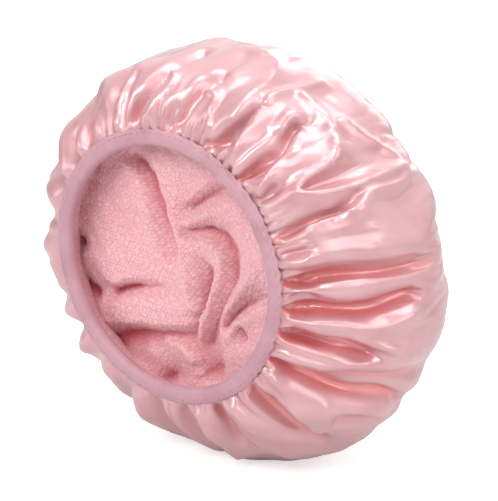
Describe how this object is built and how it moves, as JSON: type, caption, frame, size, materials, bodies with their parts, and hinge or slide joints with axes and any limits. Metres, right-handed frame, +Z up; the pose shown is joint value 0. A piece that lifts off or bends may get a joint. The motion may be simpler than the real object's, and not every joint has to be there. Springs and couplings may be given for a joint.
{
  "type": "shower cap",
  "caption": "Puffed satin shower cap on its side: gathered outer shell, waterproof film, crumpled terry lining, and a narrow elastic rim bound in folded tape.",
  "frame": {"origin": "on the surface the cap stands on, under the middle of its bounding box", "axes": "+Z up, +Y along the cap's axis from the rim towards the crown, so the opening faces -Y, +X to the right of someone looking into the opening"},
  "size_m": [0.2628, 0.1332, 0.247],
  "materials": {
    "satin": "glossy woven satin, pink",
    "film": "thin soft waterproof film",
    "terry": "looped terry pile, pink",
    "tape": "smooth folded binding tape, mauve pink",
    "elastic": "braided elastic, white",
    "thread": "polyester sewing thread"
  },
  "bodies": {
    "shell": {"satin_shell": "satin", "waterproof_film": "film"},
    "rim": {"rim_binding": "tape", "elastic_band": "elastic", "needle_thread": "thread", "bobbin_thread": "thread", "gathering_thread": "thread", "lap_tack": "thread", "elastic_tack": "thread"},
    "lining": {"terry_lining": "terry"}
  },
  "joints": [
    {"name": "rim_press", "type": "slide", "parent": "shell", "child": "rim", "axis": [0, 1, 0], "range_m": [0, 0.03], "deforming": ["satin_shell", "waterproof_film"]},
    {"name": "lining_push", "type": "slide", "parent": "rim", "child": "lining", "axis": [0, 1, 0], "range_m": [0, 0.05]}
  ]
}
